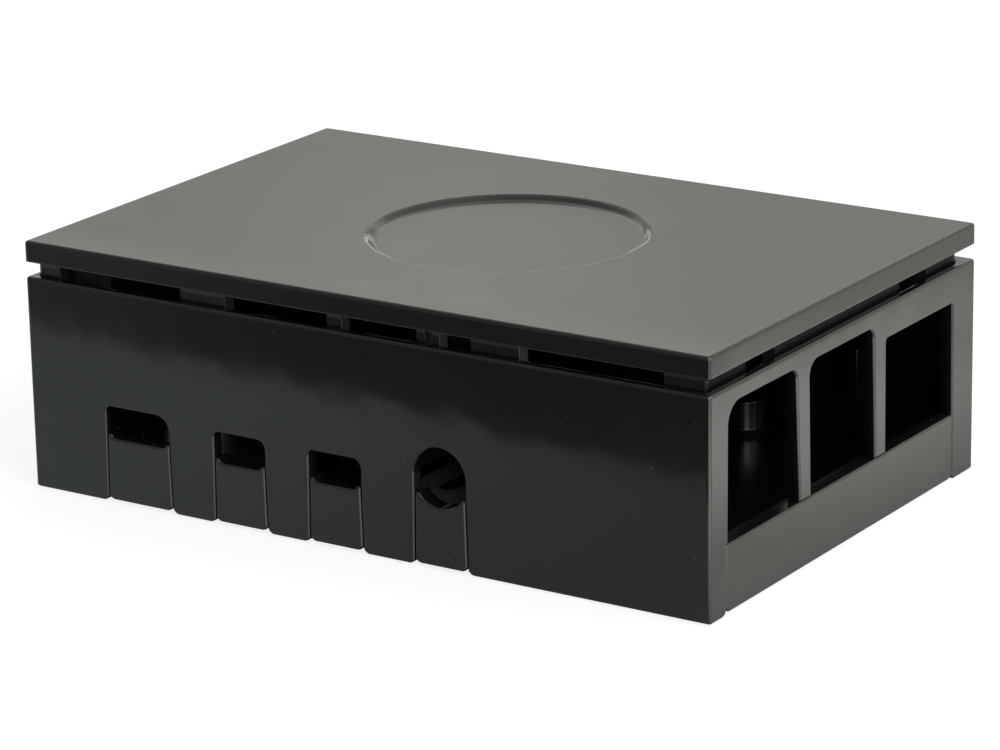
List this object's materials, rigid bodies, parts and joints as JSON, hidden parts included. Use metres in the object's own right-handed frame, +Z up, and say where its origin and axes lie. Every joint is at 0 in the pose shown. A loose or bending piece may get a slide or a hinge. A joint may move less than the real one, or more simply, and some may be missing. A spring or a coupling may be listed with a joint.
{
  "type": "single board computer case",
  "caption": "Snap-together case for a credit-card sized single board computer: ported base, windowed frame and raised vented lid.",
  "frame": {"origin": "middle of the footprint, on the surface that the case stands on", "axes": "+X along the side with the small ports, +Y from that side to the back, +Z up through the lid"},
  "size_m": [0.094, 0.062, 0.0306],
  "materials": {
    "base": "moulded black plastic, satin gloss",
    "frame": "moulded black plastic, satin gloss",
    "lid": "moulded black plastic, satin gloss"
  },
  "bodies": {
    "base": {"base": "base"},
    "frame": {"frame": "frame"},
    "lid": {"lid": "lid"}
  },
  "joints": [
    {"name": "frame_lift", "type": "slide", "parent": "base", "child": "frame", "axis": [0, 0, 1], "range_m": [0, 0.012]},
    {"name": "lid_lift", "type": "slide", "parent": "frame", "child": "lid", "axis": [0, 0, 1], "range_m": [0, 0.012]}
  ]
}
